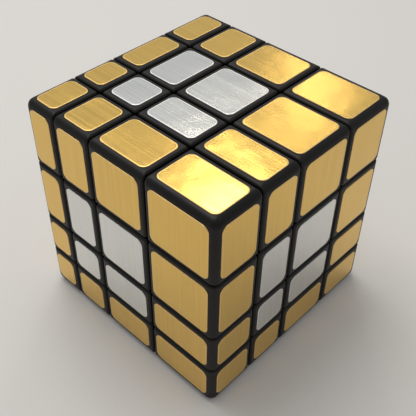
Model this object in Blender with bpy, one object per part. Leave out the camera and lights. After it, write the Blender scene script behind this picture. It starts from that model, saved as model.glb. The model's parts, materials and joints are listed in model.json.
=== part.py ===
"""Mirror block cube: four uneven layers on each axis, turning about a grooved ball core.

The cube stands on Z = 0, centred on X and Y: left is -X, front is -Y and top is +Z. Shapes are modelled in
millimetres about the point where the three turning axes cross, and become metres when an object is made.

Each axis has four layers. The two inner ones, narrow and wide, measure the same on all three axes, so every
layer can turn about the same point. The outer ones differ, and give the cube its uneven blocks.
"""

import itertools
import math

import bmesh
import bpy
from mathutils import Matrix, Vector

MM = 0.001

# The cube's outside, in millimetres
WIDTH = 60.0  # along X
DEPTH = 60.0  # along Y
HEIGHT = 60.0  # along Z
LEFT_LAYER = 10.4  # the outer layer at the low end of X
FRONT_LAYER = 14.0  # the outer layer at the low end of Y
BOTTOM_LAYER = 12.6  # the outer layer at the low end of Z
NARROW_LAYER = 12.0  # the inner layer next to each of those
WIDE_LAYER = 17.4  # the inner layer next to the right, back and top layers
SEAM_CHAMFER = 0.45  # leg, where a piece's outer face meets a seam
EDGE_CHAMFER = 1.0  # leg, along the cube's twelve edges
CORNER_CHAMFER = 2.2  # leg along each edge, at the cube's eight corners

# The mechanism
HALF_GAP = 0.2  # each side of a seam, and of a foot in its track
RUNNING_GAP = 0.4  # between two round faces that slide on each other
OUTER_WALL = 1.3  # over the flanges, where the cube is thinnest
FLANGE_WIDTH = 1.8  # how far the flanges reach out from the ball
FLANGE_DEPTH = 3.2  # how far they reach under the next layer
LIP_THICKNESS = 1.8  # the ball's lip, which holds the centres' feet
FOOT_ROOM = 2.4  # the height of the foot's track under the lip
NECK_LEAST = 1.8  # the thinnest of the four quarters of a neck, across
FOOT_OVERHANG = 1.8  # how far a foot reaches out from its neck

# The screw and the spring that hold the ball's halves together
SCREW_RADIUS = 1.5
SCREW_BELOW = 13.0  # the shank's reach under the turning centre
SCREW_POINT = 0.4  # the chamfer at its tip
SCREW_HEAD_RADIUS = 2.75
SCREW_HEAD_HEIGHT = 2.2
SCREW_HEAD_CHAMFER = 0.3
SCREW_HEAD_SUNK = 1.2  # under the floor of the feet's track
SOCKET_RADIUS = 1.4
SOCKET_DEPTH = 1.2
SOCKET_SIDES = 6
SPRING_WIRE = 0.35  # radius
SPRING_TURNS = 4
SPRING_LENGTH = 6.4
BORE_GAP = 0.35
BORE_BELOW = 1.0  # how much deeper the bore is than the screw
SPLIT_GAP = 0.3  # between the ball's halves

# How finely round shapes are cut
TURNED_SIDES = 24
SPHERE_DETAIL = 3
COIL_STEPS = 12
WIRE_SIDES = 6
SHARP_ANGLE = math.radians(25)  # edges at least this sharp are shaded sharp
FLAT_ANGLE = math.radians(0.1)  # faces this nearly level with each other become one
JOIN_DISTANCE = 1e-4  # points nearer than this become one

FAR = 200.0  # beyond the whole cube
LOOSE = 1.0  # how far a cell's outline runs past the seams that trim it

CUT = (NARROW_LAYER + WIDE_LAYER) / 2  # the outer layers start here, each way from the turning centre
MIDDLE = CUT - NARROW_LAYER  # the seam between the inner layers lies this far below it
LOW_FACE = [layer + CUT for layer in (LEFT_LAYER, FRONT_LAYER, BOTTOM_LAYER)]  # from the turning centre
HIGH_FACE = [size - low for size, low in zip((WIDTH, DEPTH, HEIGHT), LOW_FACE)]
CENTRE = (LOW_FACE[0] - WIDTH / 2, LOW_FACE[1] - DEPTH / 2, LOW_FACE[2])  # from the middle of the cube's foot

FLANGE_RADIUS = min(*LOW_FACE, *HIGH_FACE) - OUTER_WALL
BALL_RADIUS = FLANGE_RADIUS - FLANGE_WIDTH
LIP_RADIUS = BALL_RADIUS - LIP_THICKNESS
FLOOR_RADIUS = LIP_RADIUS - FOOT_ROOM
HOOK = CUT - FLANGE_DEPTH
NECK_RADIUS = math.sqrt(2) * (MIDDLE + HALF_GAP) + NECK_LEAST
FOOT_RADIUS = NECK_RADIUS + FOOT_OVERHANG
SPLIT = (FOOT_RADIUS - MIDDLE) / 2  # the ball is cut through the middle of its level track

SIDE_NAMES = (("left", "right"), ("front", "back"), ("bottom", "top"))
INNER_NAMES = {1: "narrow", 2: "wide"}
ALL_AXES = range(3)

PLASTIC = ((0.012, 0.012, 0.013), 0.42, 0.0)
CORE_PLASTIC = ((0.16, 0.16, 0.17), 0.5, 0.0)
STEEL = ((0.55, 0.55, 0.56), 0.3, 1.0)


def clear_scene():
    for thing in list(bpy.data.objects):
        bpy.data.objects.remove(thing)


# Simple solids, as meshes


def as_mesh(shape, hollow=False):
    """A bmesh's closed mesh, with flat areas joined into single faces and its faces pointing out.

    A hollow shape's inner walls already face the right way, and are left alone.
    """
    bmesh.ops.remove_doubles(shape, verts=shape.verts, dist=JOIN_DISTANCE)
    bmesh.ops.dissolve_limit(shape, angle_limit=FLAT_ANGLE, verts=shape.verts, edges=shape.edges)
    if not hollow:
        bmesh.ops.recalc_face_normals(shape, faces=shape.faces)
    mesh = bpy.data.meshes.new("shape")
    shape.to_mesh(mesh)
    shape.free()
    return mesh


def block(low, high):
    shape = bmesh.new()
    low, high = Vector(low), Vector(high)
    place = Matrix.Translation((low + high) / 2) @ Matrix.Diagonal((*(high - low), 1))
    bmesh.ops.create_cube(shape, size=1, matrix=place)
    return as_mesh(shape)


def slab(axis, low, high):
    """All the space between two planes across an axis."""
    ends = [[-FAR] * 3, [FAR] * 3]
    ends[0][axis], ends[1][axis] = low, high
    return block(*ends)


def face_depth():
    """How far the flats of a unit sphere lie from its middle, which is under 1."""
    shape = bmesh.new()
    bmesh.ops.create_icosphere(shape, subdivisions=SPHERE_DETAIL, radius=1)
    depth = min(abs(face.normal.dot(face.verts[0].co)) for face in shape.faces)
    shape.free()
    return depth


def sphere(radius, outside=False):
    """A faceted sphere with its corners on the radius, or with its flats outside it."""
    shape = bmesh.new()
    reach = radius / face_depth() if outside else radius
    bmesh.ops.create_icosphere(shape, subdivisions=SPHERE_DETAIL, radius=reach)
    return as_mesh(shape)


def turned(profile, axis):
    """A profile of (radius, height) points turned about an axis through the turning centre."""
    shape = bmesh.new()
    along, out = Vector(), Vector()
    along[axis] = 1
    out[(axis + 1) % 3] = 1
    corners = [shape.verts.new(along * height + out * radius) for radius, height in profile]
    edges = [shape.edges.new(pair) for pair in zip(corners, corners[1:])]
    bmesh.ops.spin(
        shape, geom=corners + edges, cent=(0, 0, 0), axis=along, angle=math.tau, steps=TURNED_SIDES
    )
    return as_mesh(shape)


def around(radius):
    """The corner radius of a turned bore whose flats lie on the radius."""
    return radius / math.cos(math.pi / TURNED_SIDES)


def rod(axis, radius, low, high):
    return turned([(0, low), (radius, low), (radius, high), (0, high)], axis)


def trimmed_block(low, high, trims):
    """A block cut by planes, each given by its outward direction and a point's height along it."""
    shape = bmesh.new()
    shape.from_mesh(block(low, high))
    for direction, height in trims:
        cut = bmesh.ops.bisect_plane(
            shape,
            geom=[*shape.verts, *shape.edges, *shape.faces],
            plane_co=direction * (height / direction.length_squared),
            plane_no=direction,
            clear_outer=True,
        )
        rim = [part for part in cut["geom_cut"] if isinstance(part, bmesh.types.BMEdge)]
        bmesh.ops.edgeloop_fill(shape, edges=rim)
    return as_mesh(shape)


def combined(first, operation, *others):
    """The first mesh joined to, cut by or kept inside each of the others in turn."""
    for other in others:
        base = bpy.data.objects.new("base", first)
        tool = bpy.data.objects.new("tool", other)
        for thing in (base, tool):
            bpy.context.scene.collection.objects.link(thing)
        cut = base.modifiers.new("cut", "BOOLEAN")
        cut.solver = "EXACT"
        cut.operation = operation
        cut.object = tool
        graph = bpy.context.evaluated_depsgraph_get()
        shape = bmesh.new()
        shape.from_mesh(base.evaluated_get(graph).to_mesh())
        first = as_mesh(shape, hollow=True)
        bpy.data.objects.remove(base)
        bpy.data.objects.remove(tool)
    return first


# The sub-parts


def put(name, mesh, finish, parent):
    """Make a named object, with its own material, at the turning centre."""
    mesh.transform(Matrix.Scale(MM, 4))
    mesh.name = name
    mesh.shade_smooth()
    mesh.set_sharp_from_angle(angle=SHARP_ANGLE)
    colour, roughness, metallic = finish
    material = bpy.data.materials.new(name)
    material.use_nodes = True
    shader = material.node_tree.nodes["Principled BSDF"]
    shader.inputs["Base Color"].default_value = (*colour, 1)
    shader.inputs["Roughness"].default_value = roughness
    shader.inputs["Metallic"].default_value = metallic
    mesh.materials.clear()
    mesh.materials.append(material)
    thing = bpy.data.objects.new(name, mesh)
    thing.parent = parent
    bpy.context.scene.collection.objects.link(thing)


def layer_space(axis, index):
    """The space that one layer may fill. An outer layer has a flange, and the inner one hooks over it."""
    far_way = 1 if index > 1 else -1
    if index in (0, 3):
        flange = FLANGE_RADIUS - HALF_GAP
        profile = [
            (0, HOOK + HALF_GAP),
            (flange, HOOK + HALF_GAP),
            (flange, CUT + HALF_GAP),
            (FAR, CUT + HALF_GAP),
            (FAR, FAR),
            (0, FAR),
        ]
    else:
        start = HALF_GAP - far_way * MIDDLE
        hook = around(FLANGE_RADIUS + HALF_GAP)
        profile = [
            (0, start),
            (FAR, start),
            (FAR, CUT - HALF_GAP),
            (hook, CUT - HALF_GAP),
            (hook, HOOK - HALF_GAP),
            (0, HOOK - HALF_GAP),
        ]
    return turned([(radius, far_way * height) for radius, height in profile], axis)


def cell_bounds(axis, index):
    """Where a cell ends on an axis: (how far down, how far up), as distances from the turning centre."""
    return (
        (LOW_FACE[axis], -CUT - HALF_GAP),
        (CUT - HALF_GAP, -MIDDLE - HALF_GAP),
        (MIDDLE - HALF_GAP, CUT - HALF_GAP),
        (-CUT - HALF_GAP, HIGH_FACE[axis]),
    )[index]


def outline(cell):
    """A cell's outer shape with its chamfers. It runs a little past the seams, which are cut later."""
    low, high, walls = [], [], []
    for axis, index in enumerate(cell):
        down, up = cell_bounds(axis, index)
        low.append(-down if index == 0 else -down - LOOSE)
        high.append(up if index == 3 else up + LOOSE)
        walls.append([(-1, down, index == 0), (1, up, index == 3)])
    trims = []
    for first, second in itertools.combinations(ALL_AXES, 2):
        for (way, reach, outer), (other_way, other_reach, other_outer) in itertools.product(
            walls[first], walls[second]
        ):
            if outer or other_outer:
                leg = EDGE_CHAMFER if outer and other_outer else SEAM_CHAMFER
                direction = Vector()
                direction[first], direction[second] = way, other_way
                trims.append((direction, reach + other_reach - leg))
    for corner in itertools.product(*walls):
        if all(outer for _, _, outer in corner):
            direction = Vector([way for way, _, _ in corner])
            trims.append((direction, sum(reach for _, reach, _ in corner) - CORNER_CHAMFER))
    return trimmed_block(low, high, trims)


def pole_foot(axis, way):
    """The whole foot that four centres share at one pole of the ball, with its neck."""
    neck_top = BALL_RADIUS + RUNNING_GAP + (OUTER_WALL + FLANGE_WIDTH) / 2
    ends = sorted((0, way * FAR))
    foot = combined(
        rod(axis, FOOT_RADIUS - HALF_GAP, *ends), "INTERSECT", sphere(LIP_RADIUS - RUNNING_GAP)
    )
    ends = sorted((0, way * neck_top))
    neck = rod(axis, NECK_RADIUS - HALF_GAP, *ends)
    return combined(combined(foot, "UNION", neck), "DIFFERENCE", sphere(FLOOR_RADIUS + RUNNING_GAP, True))


def piece_name(cell):
    sides = [SIDE_NAMES[axis][index // 3] for axis, index in enumerate(cell) if index in (0, 3)]
    inner = [INNER_NAMES[index] for index in cell if index in INNER_NAMES]
    kind = ("core", "centre", "edge", "corner")[len(sides)]
    return "_".join([kind, *sides, *inner])


def make_pieces(parent):
    """The 8 corners, 24 edges and 24 centres."""
    stock = combined(
        block([-FAR / 2] * 3, [FAR / 2] * 3), "DIFFERENCE", sphere(BALL_RADIUS + RUNNING_GAP, True)
    )
    for axis, way in itertools.product(ALL_AXES, (-1, 1)):
        stock = combined(stock, "UNION", pole_foot(axis, way))
    spaces = [[layer_space(axis, index) for index in range(4)] for axis in ALL_AXES]
    heart_reach = FLANGE_RADIUS + HALF_GAP
    heart = block([-heart_reach] * 3, [heart_reach] * 3)
    for i in range(4):
        layer = combined(stock, "INTERSECT", spaces[0][i])
        for j in range(4):
            column = combined(layer, "INTERSECT", spaces[1][j])
            for k in range(4):
                cell = (i, j, k)
                if not {0, 3} & set(cell):
                    continue
                limits = combined(outline(cell), "UNION", heart)
                piece = combined(column, "INTERSECT", spaces[2][k], limits)
                put(piece_name(cell), piece, PLASTIC, parent)


def tracks(radius):
    """The straight tracks of the inner layers' feet, and the three bores through the ball's poles."""
    wide = radius + HALF_GAP
    cuts = [slab(axis, -MIDDLE, wide) for axis in ALL_AXES]
    cuts += [rod(axis, around(wide), -FAR, FAR) for axis in ALL_AXES]
    return combined(cuts[0], "UNION", *cuts[1:])


def make_ball(parent):
    """The core, in two halves. Its tracks are wide under the lip and narrow through it."""
    room = combined(tracks(FOOT_RADIUS), "INTERSECT", sphere(LIP_RADIUS, True))
    room = combined(room, "UNION", tracks(NECK_RADIUS))
    room = combined(room, "DIFFERENCE", sphere(FLOOR_RADIUS))
    ball = combined(sphere(BALL_RADIUS), "DIFFERENCE", room)
    narrow = SCREW_RADIUS + BORE_GAP
    wide = SCREW_HEAD_RADIUS + BORE_GAP
    step = head_base() - SPRING_LENGTH - BORE_GAP
    end = -SCREW_BELOW - BORE_BELOW
    bore = turned([(0, end), (narrow, end), (narrow, step), (wide, step), (wide, FAR), (0, FAR)], 2)
    ball = combined(ball, "DIFFERENCE", bore)
    for name, low, high in (
        ("core_lower_half", -FAR, SPLIT - SPLIT_GAP / 2),
        ("core_upper_half", SPLIT + SPLIT_GAP / 2, FAR),
    ):
        put(name, combined(ball, "INTERSECT", slab(2, low, high)), CORE_PLASTIC, parent)


def head_base():
    return FLOOR_RADIUS - SCREW_HEAD_SUNK - SCREW_HEAD_HEIGHT


def make_screw(parent):
    """The core screw, with a hexagon socket in its head."""
    top = head_base() + SCREW_HEAD_HEIGHT
    screw = turned(
        [
            (0, -SCREW_BELOW),
            (SCREW_RADIUS - SCREW_POINT, -SCREW_BELOW),
            (SCREW_RADIUS, SCREW_POINT - SCREW_BELOW),
            (SCREW_RADIUS, head_base()),
            (SCREW_HEAD_RADIUS, head_base()),
            (SCREW_HEAD_RADIUS, top - SCREW_HEAD_CHAMFER),
            (SCREW_HEAD_RADIUS - SCREW_HEAD_CHAMFER, top),
            (0, top),
        ],
        2,
    )
    shape = bmesh.new()
    place = Matrix.Translation((0, 0, top - SOCKET_DEPTH + FAR / 2))
    bmesh.ops.create_cone(
        shape,
        cap_ends=True,
        segments=SOCKET_SIDES,
        radius1=SOCKET_RADIUS,
        radius2=SOCKET_RADIUS,
        depth=FAR,
        matrix=place,
    )
    put("core_screw", combined(screw, "DIFFERENCE", as_mesh(shape)), STEEL, parent)


def make_spring(parent):
    """The coil spring under the screw's head: a wire swept along a helix, with closed ends."""
    radius = (SCREW_RADIUS + SCREW_HEAD_RADIUS + BORE_GAP) / 2
    height = SPRING_LENGTH - BORE_GAP - 2 * SPRING_WIRE
    bottom = head_base() - SPRING_LENGTH + SPRING_WIRE
    pitch = height / SPRING_TURNS
    shape = bmesh.new()
    rings = []
    for step in range(SPRING_TURNS * COIL_STEPS + 1):
        turn = math.tau * step / COIL_STEPS
        out = Vector((math.cos(turn), math.sin(turn), 0))
        ahead = Vector((-out.y * radius, out.x * radius, pitch / math.tau)).normalized()
        across = out.cross(ahead)
        middle = out * radius + Vector((0, 0, bottom + pitch * step / COIL_STEPS))
        angles = [math.tau * side / WIRE_SIDES for side in range(WIRE_SIDES)]
        places = [middle + SPRING_WIRE * (out * math.cos(a) + across * math.sin(a)) for a in angles]
        ring = [shape.verts.new(place) for place in places]
        rings.append([shape.edges.new(pair) for pair in zip(ring, ring[1:] + ring[:1])])
    for ring, after in zip(rings, rings[1:]):
        bmesh.ops.bridge_loops(shape, edges=ring + after)
    for end in (rings[0], rings[-1]):
        bmesh.ops.edgeloop_fill(shape, edges=end)
    put("core_spring", as_mesh(shape), STEEL, parent)


clear_scene()
centre = bpy.data.objects.new("turning_centre", None)
centre.location = Vector(CENTRE) * MM
bpy.context.scene.collection.objects.link(centre)
make_pieces(centre)
make_ball(centre)
make_screw(centre)
make_spring(centre)
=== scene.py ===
"""Mirror block cube: rounded blocks, brushed foil faces and a ball core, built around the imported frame."""

import itertools
import json
import math

import bmesh
import bpy
from bpy.props import FloatProperty, FloatVectorProperty, IntProperty, PointerProperty
from mathutils import Matrix, Vector


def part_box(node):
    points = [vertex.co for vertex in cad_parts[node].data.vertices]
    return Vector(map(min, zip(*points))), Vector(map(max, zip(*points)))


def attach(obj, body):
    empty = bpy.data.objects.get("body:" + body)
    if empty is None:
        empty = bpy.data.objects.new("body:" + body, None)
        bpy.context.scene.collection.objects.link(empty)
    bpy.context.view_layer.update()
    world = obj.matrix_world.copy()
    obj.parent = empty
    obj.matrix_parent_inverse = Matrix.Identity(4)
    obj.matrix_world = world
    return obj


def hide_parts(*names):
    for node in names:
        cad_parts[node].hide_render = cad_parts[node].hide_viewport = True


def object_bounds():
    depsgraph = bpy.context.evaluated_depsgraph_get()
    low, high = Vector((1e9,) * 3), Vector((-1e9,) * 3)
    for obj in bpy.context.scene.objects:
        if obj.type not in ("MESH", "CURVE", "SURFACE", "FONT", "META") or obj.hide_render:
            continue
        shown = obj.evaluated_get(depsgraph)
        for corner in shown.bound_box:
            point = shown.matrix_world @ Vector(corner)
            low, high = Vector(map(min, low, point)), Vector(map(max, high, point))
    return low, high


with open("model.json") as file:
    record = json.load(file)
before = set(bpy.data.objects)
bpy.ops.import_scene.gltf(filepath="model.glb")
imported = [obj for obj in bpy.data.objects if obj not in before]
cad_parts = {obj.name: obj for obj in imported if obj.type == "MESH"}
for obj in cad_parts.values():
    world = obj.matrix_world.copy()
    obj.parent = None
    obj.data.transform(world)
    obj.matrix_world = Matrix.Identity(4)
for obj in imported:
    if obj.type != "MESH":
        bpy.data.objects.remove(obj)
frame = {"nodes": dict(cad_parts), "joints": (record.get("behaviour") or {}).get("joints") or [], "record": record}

bl_info = {
    "name": "Mirror Block Cube",
    "version": (1, 0, 0),
    "blender": (4, 5, 0),
    "location": "3D View > Sidebar > Mirror Cube",
    "description": "Builds a mirror block cube's blocks, foils and core on its CAD frame",
    "category": "Object",
}

cad_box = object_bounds()

MM = 0.001
SIDE_NAMES = (("left", "right"), ("front", "back"), ("bottom", "top"))
INNER_NAMES = {1: "narrow", 2: "wide"}
BRUSHED_ALONG = (2, 2, 0)  # the axis of the brush strokes on the faces across X, Y and Z
FOIL_SINK = 0.01 * MM  # how far a foil reaches into its block
FOIL_SHIFT = (0.071, 0.043)  # from one foil's stretch of brushed sheet to the next one's, in metres
FOIL_CORNER_STEPS = 8
FOIL_EDGE_STEPS = 2
LEVEL = 1e-7  # places closer than this, in metres, are level with each other
FLAT_ANGLE = math.radians(0.5)  # faces this nearly level become one
BLOCK_SHARP_ANGLE = math.radians(35)
FOIL_SHARP_ANGLE = math.radians(50)
GREY_PLASTIC = (0.16, 0.16, 0.17)
STEEL_COLOUR = (0.56, 0.56, 0.58)
WARM_SKY = (1.0, 0.98, 0.955, 1)
COOL_SKY = (0.985, 1.0, 1.02, 1)
SKY_BACK = Vector((-0.7, 0.5, 0.51))  # towards the brighter, cooler side of the sky
WINDOW_COLOUR = (1, 0.975, 0.94)
BULB_COLOUR = (1, 0.92, 0.78)
SECOND_BULB_COLOUR = (1, 0.9, 0.72)
LAMP_TARGET = Vector((0, 0, 0.03))
FLOOR_SIZE = 6.0  # metres
BODY_OF = {node: body for body, nodes in frame["record"]["behaviour"]["bodies"].items() for node in nodes}
TURNING_CENTRE = Vector(frame["joints"][0]["pos_m"])


# Where the layers lie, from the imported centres


def piece_name(cell):
    sides = [SIDE_NAMES[axis][index // 3] for axis, index in enumerate(cell) if index in (0, 3)]
    inner = [INNER_NAMES[index] for index in cell if index in INNER_NAMES]
    return "_".join([("core", "centre", "edge", "corner")[len(sides)], *sides, *inner])


def layer_limits(axis):
    """The four layers' (low, high) planes on an axis. The centres' sides show where the seams are."""
    across = (axis + 1) % 3
    inner = []
    for index in (1, 2):
        cell = [1, 1, 1]
        cell[axis], cell[across] = index, 3
        low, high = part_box(piece_name(cell))
        inner.append((low[axis], high[axis]))
    seam = inner[1][0] - inner[0][1]
    low, high = (Vector(corner) for corner in cad_box)
    return [(low[axis], inner[0][0] - seam), *inner, (inner[1][1] + seam, high[axis])]


LAYERS = [layer_limits(axis) for axis in range(3)]
CELLS = [cell for cell in itertools.product(range(4), repeat=3) if {0, 3} & set(cell)]


def outer_sides(cell):
    """The (axis, way) of each of a block's faces on the outside of the cube."""
    return [(axis, 1 if index == 3 else -1) for axis, index in enumerate(cell) if index in (0, 3)]


# Settings


class CubeBlockSettings(bpy.types.PropertyGroup):
    seam_radius: FloatProperty(
        name="Seam Radius", description="Rounding of a block's edges at the seams",
        default=0.8 * MM, unit="LENGTH",
    )
    rim_radius: FloatProperty(
        name="Rim Radius", description="Rounding of the cube's twelve edges",
        default=2.0 * MM, unit="LENGTH",
    )
    heart_reach: FloatProperty(
        name="Heart Reach", description="Half the size of the space where the blocks keep their hooks",
        default=24.0 * MM, unit="LENGTH",
    )
    steps: IntProperty(name="Steps", description="Facets across a rounded edge", default=6, min=2)
    plastic_colour: FloatVectorProperty(
        name="Plastic Colour", description="Colour of the black blocks",
        default=(0.0055, 0.005, 0.0045), subtype="COLOR",
    )
    plastic_roughness: FloatProperty(
        name="Plastic Roughness", description="Middle roughness of the blocks", default=0.4,
    )


class CubeFoilSettings(bpy.types.PropertyGroup):
    thickness: FloatProperty(
        name="Thickness", description="Thickness of a foil", default=0.14 * MM, unit="LENGTH",
    )
    seam_margin: FloatProperty(
        name="Seam Margin", description="From a foil's edge to the block's side at a seam",
        default=1.25 * MM, unit="LENGTH",
    )
    low_margins: FloatVectorProperty(
        name="Low Margins", description="From a foil's edge to the cube's left, front and bottom faces",
        default=(2.0 * MM, 1.88 * MM, 2.5 * MM), unit="LENGTH",
    )
    high_margins: FloatVectorProperty(
        name="High Margins", description="From a foil's edge to the cube's right, back and top faces",
        default=(1.85 * MM, 2.4 * MM, 1.95 * MM), unit="LENGTH",
    )
    corner_radius: FloatProperty(
        name="Corner Radius", description="Rounding of a foil's corners", default=1.6 * MM, unit="LENGTH",
    )
    edge_radius: FloatProperty(
        name="Edge Radius", description="Rounding of a foil's upper edge", default=0.06 * MM, unit="LENGTH",
    )
    gold_colour: FloatVectorProperty(
        name="Gold Colour", description="Colour of the gold foil",
        default=(0.86, 0.565, 0.15), subtype="COLOR",
    )
    silver_colour: FloatVectorProperty(
        name="Silver Colour", description="Colour of the silver foil",
        default=(0.78, 0.785, 0.76), subtype="COLOR",
    )
    # The ring this wide round each foil carries its painted highlight line.
    rim_width: FloatProperty(
        name="Rim Width", description="Width of the bright line round a foil",
        default=0.3 * MM, unit="LENGTH",
    )
    roughness: FloatProperty(name="Roughness", description="Middle roughness of the foil", default=0.2)


class CubeStageSettings(bpy.types.PropertyGroup):
    floor_colour: FloatVectorProperty(
        name="Floor Colour", description="Colour of the floor",
        default=(0.84, 0.82, 0.79), subtype="COLOR",
    )
    sky_behind: FloatProperty(
        name="Sky Behind", description="Soft light from behind the cube", default=0.55,
    )
    sky_before: FloatProperty(
        name="Sky Before", description="Soft light from the viewer's side", default=0.3,
    )
    window_power: FloatProperty(
        name="Window Power", description="Power of the broad light on the cube's left",
        default=1.15, unit="POWER",
    )
    bulb_power: FloatProperty(
        name="Bulb Power", description="Power of the small bright light that the top's near corner mirrors",
        default=0.095, unit="POWER",
    )
    second_bulb_power: FloatProperty(
        name="Second Bulb Power", description="Power of the light that the top's right-hand corner mirrors",
        default=0.026, unit="POWER",
    )
    camera_azimuth: FloatProperty(
        name="Camera Azimuth", description="Camera's turn from the front towards the right",
        default=math.radians(42.9), subtype="ANGLE",
    )
    camera_elevation: FloatProperty(
        name="Camera Elevation", description="Camera's height above the level",
        default=math.radians(42.54), subtype="ANGLE",
    )
    camera_roll: FloatProperty(
        name="Camera Roll", description="Camera's turn about its own line of sight",
        default=math.radians(0.96), subtype="ANGLE",
    )
    camera_distance: FloatProperty(
        name="Camera Distance", description="From the camera to the point it looks at",
        default=180.75 * MM, unit="LENGTH",
    )
    aim_height: FloatProperty(
        name="Aim Height", description="Height of the point the camera looks at",
        default=25.65 * MM, unit="LENGTH",
    )
    lens: FloatProperty(name="Lens", description="Focal length in millimetres", default=59.96)


# Node groups and materials


class Graph:
    """A node tree being filled: add() makes a node, sets its values and links its inputs."""

    def __init__(self, tree):
        self.tree = tree

    def add(self, kind, inputs=(), **settings):
        node = self.tree.nodes.new("ShaderNode" + kind)
        for name, value in settings.items():
            setattr(node, name, value)
        return self.fill(node, inputs)

    def fill(self, node, inputs):
        for name, value in dict(inputs).items():
            if isinstance(value, bpy.types.NodeSocket):
                self.tree.links.new(value, node.inputs[name])
            else:
                node.inputs[name].default_value = value
        return node

    def maths(self, operation, first, second=0.0, third=0.0):
        node = self.add("Math", {0: first, 1: second, 2: third}, operation=operation)
        return node.outputs[0]

    def spread(self, value, low, high, to_low=0.0, to_high=1.0):
        inputs = {"Value": value, "From Min": low, "From Max": high, "To Min": to_low, "To Max": to_high}
        return self.add("MapRange", inputs).outputs[0]

    def blend(self, share, first, second, operation="MIX"):
        node = self.add("Mix", {0: share, 6: first, 7: second}, data_type="RGBA", blend_type=operation)
        return node.outputs[2]

    def noise(self, vector, scale, detail=3.0, rough=0.55):
        inputs = {"Vector": vector, "Scale": scale, "Detail": detail, "Roughness": rough}
        return self.add("TexNoise", inputs).outputs[0]

    def group(self, tree, inputs=()):
        node = self.tree.nodes.new("ShaderNodeGroup")
        node.node_tree = tree
        return self.fill(node, inputs)


def effect_group(name, inputs, outputs):
    """A shader node group with named sockets. Returns (graph, its input sockets, its output node)."""
    tree = bpy.data.node_groups.new(name, "ShaderNodeTree")
    for label, kind, default in inputs:
        socket = tree.interface.new_socket(label, in_out="INPUT", socket_type="NodeSocket" + kind)
        if default is not None:
            socket.default_value = default
    for label, kind in outputs:
        tree.interface.new_socket(label, in_out="OUTPUT", socket_type="NodeSocket" + kind)
    graph = Graph(tree)
    start = tree.nodes.new("NodeGroupInput")
    end = tree.nodes.new("NodeGroupOutput")
    return graph, start.outputs, end


def brushed_group():
    """Fine strokes along U, broader streaks, a few scratches, and the foil's slow waves."""
    graph, given, end = effect_group(
        "brushed foil",
        [
            ("Vector", "Vector", None),
            ("Stroke Width", "Float", 0.12 * MM),
            ("Stroke Length", "Float", 9 * MM),
        ],
        [("Strokes", "Float"), ("Streaks", "Float"), ("Scratches", "Float"), ("Waves", "Float")],
    )
    across = graph.maths("DIVIDE", 1.0, given["Stroke Width"])
    along = graph.maths("DIVIDE", 1.0, given["Stroke Length"])
    scale = graph.add("CombineXYZ", {0: along, 1: across, 2: 1.0}).outputs[0]
    stretched = graph.add("VectorMath", {0: given["Vector"], 1: scale}, operation="MULTIPLY").outputs[0]
    strokes = graph.noise(stretched, 1.0, 2.0)
    streaks = graph.noise(stretched, 0.27, 2.0)
    scratches = graph.spread(graph.noise(stretched, 0.41, 1.0), 0.68, 0.76)
    waves = graph.noise(given["Vector"], 150.0, 0.8)
    labels = ("Strokes", "Streaks", "Scratches", "Waves")
    for label, value in zip(labels, (strokes, streaks, scratches, waves)):
        graph.tree.links.new(value, end.inputs[label])
    return graph.tree


def wear_group():
    """Where a moulded edge is rubbed smooth, broken up so that it isn't an even line."""
    graph, given, end = effect_group(
        "edge wear", [("Vector", "Vector", None), ("Width", "Float", 0.5 * MM)], [("Wear", "Float")]
    )
    rounded = graph.add("Bevel", {"Radius": given["Width"]}, samples=4).outputs[0]
    flat = graph.add("NewGeometry").outputs["Normal"]
    same = graph.add("VectorMath", {0: rounded, 1: flat}, operation="DOT_PRODUCT").outputs["Value"]
    edge = graph.spread(same, 0.995, 0.93)
    patches = graph.spread(graph.noise(given["Vector"], 420.0, 3.0), 0.4, 0.62)
    graph.tree.links.new(graph.maths("MULTIPLY", edge, patches), end.inputs["Wear"])
    return graph.tree


def dust_group():
    """Fine specks of lint and dust."""
    graph, given, end = effect_group(
        "dust", [("Vector", "Vector", None), ("Amount", "Float", 0.5)], [("Dust", "Float")]
    )
    cells = graph.add("TexVoronoi", {"Vector": given["Vector"], "Scale": 900.0}, feature="F1")
    speck = graph.spread(cells.outputs["Distance"], 0.1, 0.02)
    least = graph.maths("SUBTRACT", 1.0, given["Amount"])
    chosen = graph.maths("GREATER_THAN", cells.outputs["Color"], least)
    graph.tree.links.new(graph.maths("MULTIPLY", speck, chosen), end.inputs["Dust"])
    return graph.tree


def grain_group():
    """The fine matt texture of moulded plastic, and its slow change in gloss."""
    graph, given, end = effect_group(
        "moulded grain", [("Vector", "Vector", None)], [("Grain", "Float"), ("Gloss", "Float")]
    )
    graph.tree.links.new(graph.noise(given["Vector"], 5200.0, 2.0), end.inputs["Grain"])
    graph.tree.links.new(graph.noise(given["Vector"], 130.0, 3.0), end.inputs["Gloss"])
    return graph.tree


def effect(name, build):
    return bpy.data.node_groups.get(name) or build()


def new_material(name):
    """An empty material's graph and its Principled shader."""
    material = bpy.data.materials.new(name)
    material.use_nodes = True
    graph = Graph(material.node_tree)
    return material, graph, material.node_tree.nodes["Principled BSDF"]


def drive(graph, shader, **sockets):
    for name, value in sockets.items():
        graph.tree.links.new(value, shader.inputs[name.replace("_", " ")])


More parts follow.
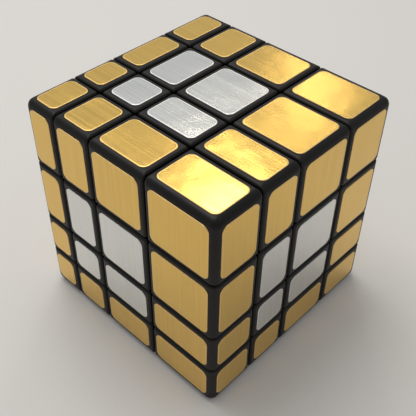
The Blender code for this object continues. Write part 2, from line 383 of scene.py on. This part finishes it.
def plastic(name, colour, roughness):
    """Satin moulded plastic with a fine grain, rubbed edges and a little dust."""
    if name in bpy.data.materials:
        return bpy.data.materials[name]
    material, graph, shader = new_material(name)
    place = graph.add("TexCoord").outputs["Object"]
    grain = graph.group(effect("moulded grain", grain_group), {"Vector": place})
    wear = graph.group(effect("edge wear", wear_group), {"Vector": place}).outputs["Wear"]
    dust = graph.group(effect("dust", dust_group), {"Vector": place, "Amount": 0.3}).outputs["Dust"]
    gloss = graph.spread(grain.outputs["Gloss"], 0.3, 0.7, roughness - 0.06, roughness + 0.08)
    rubbed = graph.maths("SUBTRACT", gloss, graph.maths("MULTIPLY", wear, 0.1))
    plain = (*colour, 1)
    shade = graph.blend(grain.outputs["Gloss"], plain, [min(1, part * 1.5) for part in colour] + [1])
    worn = graph.blend(graph.maths("MULTIPLY", wear, 0.35), shade, (0.06, 0.058, 0.055, 1))
    dusty = graph.blend(graph.maths("MULTIPLY", dust, 0.5), worn, (0.3, 0.29, 0.27, 1))
    bump = graph.add("Bump", {"Strength": 0.25, "Distance": 0.02 * MM, "Height": grain.outputs["Grain"]})
    shader.inputs["Specular IOR Level"].default_value = 0.24
    drive(graph, shader, Base_Color=dusty, Roughness=rubbed, Normal=bump.outputs[0])
    return material


def foil(name, colour, roughness):
    """Brushed metal foil, with strokes along the piece's own map and a painted highlight line round its edge."""
    if name in bpy.data.materials:
        return bpy.data.materials[name]
    material, graph, shader = new_material(name)
    along = graph.add("UVMap", uv_map="brushing").outputs[0]
    place = graph.add("TexCoord").outputs["Object"]
    brushed = graph.group(effect("brushed foil", brushed_group), {"Vector": along}).outputs
    dust = graph.group(effect("dust", dust_group), {"Vector": place, "Amount": 0.12}).outputs["Dust"]
    highlight_rim = graph.add("Attribute", attribute_name="highlight_rim").outputs["Fac"]
    dark = [part * 0.92 for part in colour] + [1]
    light = [min(1, part * 1.05) for part in colour] + [1]
    bright = [min(1, part * 0.8 + 0.22) for part in colour] + [1]
    shade = graph.blend(graph.spread(brushed["Streaks"], 0.3, 0.7), dark, light)
    lined = graph.blend(graph.spread(brushed["Strokes"], 0.3, 0.7, 0.0, 0.3), shade, dark)
    marked = graph.blend(graph.maths("MULTIPLY", brushed["Scratches"], 0.3), lined, light)
    # Painted highlight: the ring round the foil's edge is lightened in colour here, and made rougher below.
    highlight_rimmed = graph.blend(graph.maths("MULTIPLY", highlight_rim, 0.6), marked, bright)
    dusty = graph.blend(graph.maths("MULTIPLY", dust, 0.3), highlight_rimmed, (0.6, 0.58, 0.54, 1))
    streaky = graph.spread(brushed["Streaks"], 0.25, 0.75, roughness - 0.03, roughness + 0.05)
    gloss = graph.maths("MULTIPLY_ADD", highlight_rim, 0.3, streaky)
    relief = graph.maths("SUBTRACT", brushed["Strokes"], graph.maths("MULTIPLY", brushed["Scratches"], 0.1))
    fine = graph.add("Bump", {"Strength": 1.0, "Distance": 0.008 * MM, "Height": relief})
    waves = graph.add(
        "Bump",
        {"Strength": 1.0, "Distance": 0.11 * MM, "Height": brushed["Waves"], "Normal": fine.outputs[0]},
    )
    shader.inputs["Metallic"].default_value = 1.0
    drive(graph, shader, Base_Color=dusty, Roughness=gloss, Normal=waves.outputs[0])
    return material


def steel(name, colour, roughness):
    """Turned steel with a little uneven gloss."""
    if name in bpy.data.materials:
        return bpy.data.materials[name]
    material, graph, shader = new_material(name)
    place = graph.add("TexCoord").outputs["Object"]
    grain = graph.group(effect("moulded grain", grain_group), {"Vector": place})
    shade = graph.blend(grain.outputs["Gloss"], [part * 0.8 for part in colour] + [1], (*colour, 1))
    gloss = graph.spread(grain.outputs["Gloss"], 0.3, 0.7, roughness - 0.08, roughness + 0.12)
    bump = graph.add("Bump", {"Strength": 0.1, "Distance": 0.01 * MM, "Height": grain.outputs["Grain"]})
    shader.inputs["Metallic"].default_value = 1.0
    drive(graph, shader, Base_Color=shade, Roughness=gloss, Normal=bump.outputs[0])
    return material


# Modelling steps


def deselect():
    bpy.ops.object.select_all(action="DESELECT")


def use(thing):
    """Make an object the only selected and active one."""
    deselect()
    thing.select_set(True)
    bpy.context.view_layer.objects.active = thing


def add_box(name, low, high):
    """A box between two corners, with its place in its mesh."""
    deselect()
    low, high = Vector(low), Vector(high)
    bpy.ops.mesh.primitive_cube_add(size=1, location=(low + high) / 2, scale=high - low)
    thing = bpy.context.object
    thing.name = thing.data.name = name
    bpy.ops.object.transform_apply(location=True, rotation=True, scale=True)
    return thing


def apply_modifier(thing, kind, **settings):
    use(thing)
    modifier = thing.modifiers.new(kind.lower(), kind)
    for name, value in settings.items():
        setattr(modifier, name, value)
    bpy.ops.object.modifier_apply(modifier=modifier.name)


def cut_with(thing, operation, tool):
    apply_modifier(thing, "BOOLEAN", operation=operation, object=tool, solver="EXACT")


def remove(thing):
    bpy.data.objects.remove(thing)


def tidy_mesh(thing):
    use(thing)
    bpy.ops.object.mode_set(mode="EDIT")
    bpy.ops.mesh.select_all(action="SELECT")
    bpy.ops.mesh.remove_doubles(threshold=0.001 * MM)
    bpy.ops.mesh.dissolve_limited(angle_limit=FLAT_ANGLE)
    bpy.ops.object.mode_set(mode="OBJECT")


def smooth(thing, angle):
    use(thing)
    bpy.ops.object.shade_smooth_by_angle(angle=angle)
    apply_modifier(thing, "WEIGHTED_NORMAL", keep_sharp=True, mode="FACE_AREA")


def dress(thing, material):
    thing.data.materials.clear()
    thing.data.materials.append(material)


def copy_of_node(name):
    """A merged copy of a CAD node, ready to be shaped."""
    node = frame["nodes"][name]
    copy = bpy.data.objects.new("copy", node.data.copy())
    bpy.context.scene.collection.objects.link(copy)
    tidy_mesh(copy)
    return copy


# Blocks


def weigh_edges(thing, cell, rim_share):
    """Mark which of a box's edges are the cube's own, and which lie at a seam, for the bevel."""
    mesh = thing.data
    weights = mesh.attributes.new("bevel_weight_edge", "FLOAT", "EDGE")
    middle = sum((vertex.co for vertex in mesh.vertices), Vector()) / len(mesh.vertices)
    for edge in mesh.edges:
        first, second = (mesh.vertices[index].co for index in edge.vertices)
        halfway = (first + second) / 2 - middle
        outer = 0
        for axis, way in outer_sides(cell):
            level = abs(first[axis] - second[axis]) < LEVEL
            outer += level and halfway[axis] * way > 0
        weights.data[edge.index].value = 1.0 if outer == 2 else rim_share


def block_limits(cell, foils):
    """A block's visible box, set back by a foil's thickness on the outside of the cube."""
    low, high = Vector(), Vector()
    for axis, index in enumerate(cell):
        start, end = LAYERS[axis][index]
        low[axis] = start + (foils.thickness if index == 0 else 0)
        high[axis] = end - (foils.thickness if index == 3 else 0)
    return low, high


def make_block(cell, settings, foils):
    name = piece_name(cell)
    envelope = add_box("envelope", *block_limits(cell, foils))
    weigh_edges(envelope, cell, settings.seam_radius / settings.rim_radius)
    apply_modifier(
        envelope, "BEVEL", width=settings.rim_radius, segments=settings.steps, limit_method="WEIGHT",
    )
    reach = Vector([settings.heart_reach] * 3)
    heart = add_box("heart", TURNING_CENTRE - reach, TURNING_CENTRE + reach)
    cut_with(envelope, "UNION", heart)
    block = copy_of_node(name)
    cut_with(block, "INTERSECT", envelope)
    tidy_mesh(block)
    block.name = block.data.name = "block_" + name
    smooth(block, BLOCK_SHARP_ANGLE)
    dress(block, plastic("black plastic", settings.plastic_colour, settings.plastic_roughness))
    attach(block, BODY_OF[name])
    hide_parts(name)
    remove(envelope)
    remove(heart)


class BlockOperator:
    """Builds the blocks that have a given number of outer faces."""

    faces = 0

    def execute(self, context):
        scene = context.scene
        for cell in CELLS:
            if len(outer_sides(cell)) == self.faces:
                make_block(cell, scene.cube_blocks, scene.cube_foils)
        return {"FINISHED"}


class MIRROR_CUBE_OT_corners(BlockOperator, bpy.types.Operator):
    """Build the eight corner blocks"""

    bl_idname = "mirror_cube.corners"
    bl_label = "Corner Blocks"
    faces = 3


class MIRROR_CUBE_OT_edges(BlockOperator, bpy.types.Operator):
    """Build the twenty-four edge blocks"""

    bl_idname = "mirror_cube.edges"
    bl_label = "Edge Blocks"
    faces = 2


class MIRROR_CUBE_OT_centres(BlockOperator, bpy.types.Operator):
    """Build the twenty-four centre blocks, with their feet"""

    bl_idname = "mirror_cube.centres"
    bl_label = "Centre Blocks"
    faces = 1


# Foils


def foil_limits(cell, axis, way, foils):
    """A foil's box on one outer face of a block."""
    low, high = Vector(), Vector()
    for side, index in enumerate(cell):
        start, end = LAYERS[side][index]
        if side == axis:
            face = end if way > 0 else start
            low[side], high[side] = sorted((face, face - way * (foils.thickness + FOIL_SINK)))
        else:
            low[side] = start + (foils.low_margins[side] if index == 0 else foils.seam_margin)
            high[side] = end - (foils.high_margins[side] if index == 3 else foils.seam_margin)
    return low, high


def bevel_where(thing, wanted, offset, segments):
    """Round the edges that a test of their two ends picks out, in edit mode."""
    use(thing)
    bpy.ops.object.mode_set(mode="EDIT")
    bpy.ops.mesh.select_mode(type="EDGE")
    bpy.ops.mesh.select_all(action="DESELECT")
    shape = bmesh.from_edit_mesh(thing.data)
    for edge in shape.edges:
        if wanted(*(vertex.co for vertex in edge.verts)):
            edge.select = True
    shape.select_flush_mode()
    bmesh.update_edit_mesh(thing.data)
    bpy.ops.mesh.bevel(offset=offset, segments=segments, profile=0.5, affect="EDGES")
    bpy.ops.object.mode_set(mode="OBJECT")


def mark_rim(thing, axis, top, width):
    """Set a foil's face in from its edge, and mark the ring that this leaves as its painted highlight line."""
    use(thing)
    bpy.ops.object.mode_set(mode="EDIT")
    bpy.ops.mesh.select_mode(type="FACE")
    bpy.ops.mesh.select_all(action="DESELECT")
    shape = bmesh.from_edit_mesh(thing.data)
    for face in shape.faces:
        face.select = all(abs(vertex.co[axis] - top) < LEVEL for vertex in face.verts)
    bmesh.update_edit_mesh(thing.data)
    bpy.ops.mesh.inset(thickness=width)
    bpy.ops.object.mode_set(mode="OBJECT")
    highlight_rim = thing.data.attributes.new("highlight_rim", "FLOAT", "POINT")
    highlight_rim.data.foreach_set("value", [0.0 if vertex.select else 1.0 for vertex in thing.data.vertices])


def lay_brushing(thing, axis, number):
    """A map in metres with U along the brush strokes. Each foil is cut from its own stretch of sheet."""
    along = BRUSHED_ALONG[axis]
    across = 3 - axis - along
    layer = thing.data.uv_layers.new(name="brushing")
    for loop in thing.data.loops:
        place = thing.data.vertices[loop.vertex_index].co
        shift = [step * number for step in FOIL_SHIFT]
        layer.data[loop.index].uv = (place[along] + shift[0], place[across] + shift[1])


def make_foil(cell, axis, way, number, foils):
    name = piece_name(cell)
    side = SIDE_NAMES[axis][way > 0]
    silver = len(outer_sides(cell)) == 1
    colour = foils.silver_colour if silver else foils.gold_colour
    low, high = foil_limits(cell, axis, way, foils)
    thing = add_box(f"foil_{side}_of_{name}", low, high)
    top = high[axis] if way > 0 else low[axis]

    def upright(first, second):
        return abs(first[axis] - second[axis]) > LEVEL

    def on_top(first, second):
        return max(abs(first[axis] - top), abs(second[axis] - top)) < LEVEL

    bevel_where(thing, upright, foils.corner_radius, FOIL_CORNER_STEPS)
    bevel_where(thing, on_top, foils.edge_radius, FOIL_EDGE_STEPS)
    mark_rim(thing, axis, top, foils.rim_width)
    for layer in list(thing.data.uv_layers):
        thing.data.uv_layers.remove(layer)
    lay_brushing(thing, axis, number)
    smooth(thing, FOIL_SHARP_ANGLE)
    metal = "silver foil" if silver else "gold foil"
    dress(thing, foil(metal, colour, foils.roughness))
    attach(thing, BODY_OF[name])


class MIRROR_CUBE_OT_foils(bpy.types.Operator):
    """Lay a foil on every outer face: silver on the centres, gold on the rest"""

    bl_idname = "mirror_cube.foils"
    bl_label = "Foil Faces"

    def execute(self, context):
        number = 0
        for cell in CELLS:
            for axis, way in outer_sides(cell):
                number += 1
                make_foil(cell, axis, way, number, context.scene.cube_foils)
        return {"FINISHED"}


# The core


class MIRROR_CUBE_OT_core(bpy.types.Operator):
    """Finish the ball core, its screw and its spring"""

    bl_idname = "mirror_cube.core"
    bl_label = "Ball Core"

    def execute(self, context):
        grey = plastic("grey core plastic", GREY_PLASTIC, 0.5)
        metal = steel("core steel", STEEL_COLOUR, 0.3)
        for name, material in (
            ("core_lower_half", grey),
            ("core_upper_half", grey),
            ("core_screw", metal),
            ("core_spring", metal),
        ):
            dress(frame["nodes"][name], material)
        return {"FINISHED"}


# The stage


def aim(thing, target, roll=0.0):
    """Point a lamp or a camera at a place, keeping its top up, then roll it."""
    sight = (target - thing.location).to_track_quat("-Z", "Y")
    thing.rotation_euler = (sight.to_matrix() @ Matrix.Rotation(roll, 3, "Z")).to_euler()


def add_lamp(name, turn, height, distance, power, size, colour):
    """A square lamp that faces the cube, turned from straight behind it towards its left, in degrees."""
    turn, height = math.radians(turn), math.radians(height)
    level = math.cos(height)
    away = Vector((-math.sin(turn) * level, math.cos(turn) * level, math.sin(height)))
    bpy.ops.object.light_add(type="AREA", location=LAMP_TARGET + away * distance)
    lamp = bpy.context.object
    lamp.name = name
    lamp.data.size = size
    lamp.data.energy = power
    lamp.data.color = colour
    aim(lamp, LAMP_TARGET)


def lay_floor(stage):
    deselect()
    bpy.ops.mesh.primitive_plane_add(size=FLOOR_SIZE)
    floor = bpy.context.object
    floor.name = "floor"
    material, graph, shader = new_material("pale floor")
    place = graph.add("TexCoord").outputs["Object"]
    speckle = graph.noise(place, 900.0, 3.0)
    darker = [part * 0.97 for part in stage.floor_colour] + [1]
    shade = graph.blend(speckle, darker, (*stage.floor_colour, 1))
    shader.inputs["Roughness"].default_value = 0.6
    drive(graph, shader, Base_Color=shade)
    dress(floor, material)


def light_scene(scene, stage):
    """A soft sky, brighter and cooler behind the cube, with a broad lamp and two small ones."""
    world = bpy.data.worlds.new("soft studio")
    scene.world = world
    world.use_nodes = True
    sky = Graph(world.node_tree)
    direction = sky.add("TexCoord").outputs["Generated"]
    facing = sky.add("VectorMath", {0: direction, 1: SKY_BACK}, operation="DOT_PRODUCT").outputs["Value"]
    level = sky.spread(facing, -0.8, 0.9, stage.sky_before, stage.sky_behind)
    tint = sky.blend(sky.spread(facing, -0.8, 0.9), WARM_SKY, COOL_SKY)
    shader = world.node_tree.nodes["Background"]
    world.node_tree.links.new(tint, shader.inputs["Color"])
    world.node_tree.links.new(level, shader.inputs["Strength"])
    add_lamp("window", 83.0, 66.0, 0.55, stage.window_power, 0.35, WINDOW_COLOUR)
    add_lamp("bulb", 40.6, 49.0, 0.5, stage.bulb_power, 0.05, BULB_COLOUR)
    add_lamp("second bulb", 30.0, 35.0, 0.5, stage.second_bulb_power, 0.05, SECOND_BULB_COLOUR)
    scene.view_settings.view_transform = "Standard"


def place_camera(scene, stage):
    target = Vector((0, 0, stage.aim_height))
    turn, height = stage.camera_azimuth, stage.camera_elevation
    level = math.cos(height)
    away = Vector((math.sin(turn) * level, -math.cos(turn) * level, math.sin(height)))
    bpy.ops.object.camera_add(location=target + away * stage.camera_distance)
    camera = bpy.context.object
    camera.name = "camera"
    camera.data.lens = stage.lens
    camera.data.sensor_width = 36.0
    camera.data.clip_start = 0.01
    aim(camera, target, stage.camera_roll)
    scene.camera = camera


class MIRROR_CUBE_OT_stage(bpy.types.Operator):
    """Lay the pale floor, and place the lamps and the camera"""

    bl_idname = "mirror_cube.stage"
    bl_label = "Stage"

    def execute(self, context):
        stage = context.scene.cube_stage
        lay_floor(stage)
        light_scene(context.scene, stage)
        place_camera(context.scene, stage)
        return {"FINISHED"}


class MIRROR_CUBE_PT_panel(bpy.types.Panel):
    """Lists the cube's build steps and settings"""

    bl_idname = "MIRROR_CUBE_PT_panel"
    bl_label = "Mirror Block Cube"
    bl_space_type = "VIEW_3D"
    bl_region_type = "UI"
    bl_category = "Mirror Cube"

    def draw(self, context):
        for operator in OPERATORS:
            self.layout.operator(operator.bl_idname)
        for name in SETTINGS:
            group = getattr(context.scene, name)
            box = self.layout.box()
            for key in group.bl_rna.properties.keys():
                if key not in ("rna_type", "name"):
                    box.prop(group, key)


OPERATORS = (
    MIRROR_CUBE_OT_corners,
    MIRROR_CUBE_OT_edges,
    MIRROR_CUBE_OT_centres,
    MIRROR_CUBE_OT_foils,
    MIRROR_CUBE_OT_core,
    MIRROR_CUBE_OT_stage,
)
SETTINGS = {
    "cube_blocks": CubeBlockSettings,
    "cube_foils": CubeFoilSettings,
    "cube_stage": CubeStageSettings,
}


def register():
    for kind in (*SETTINGS.values(), *OPERATORS, MIRROR_CUBE_PT_panel):
        bpy.utils.register_class(kind)
    for name, kind in SETTINGS.items():
        setattr(bpy.types.Scene, name, PointerProperty(type=kind))


def unregister():
    for name in SETTINGS:
        delattr(bpy.types.Scene, name)
    for kind in (MIRROR_CUBE_PT_panel, *OPERATORS, *SETTINGS.values()):
        bpy.utils.unregister_class(kind)


def main():
    register()
    bpy.ops.mirror_cube.corners()
    bpy.ops.mirror_cube.edges()
    bpy.ops.mirror_cube.centres()
    bpy.ops.mirror_cube.foils()
    bpy.ops.mirror_cube.core()
    bpy.ops.mirror_cube.stage()


if __name__ == "__main__":
    main()
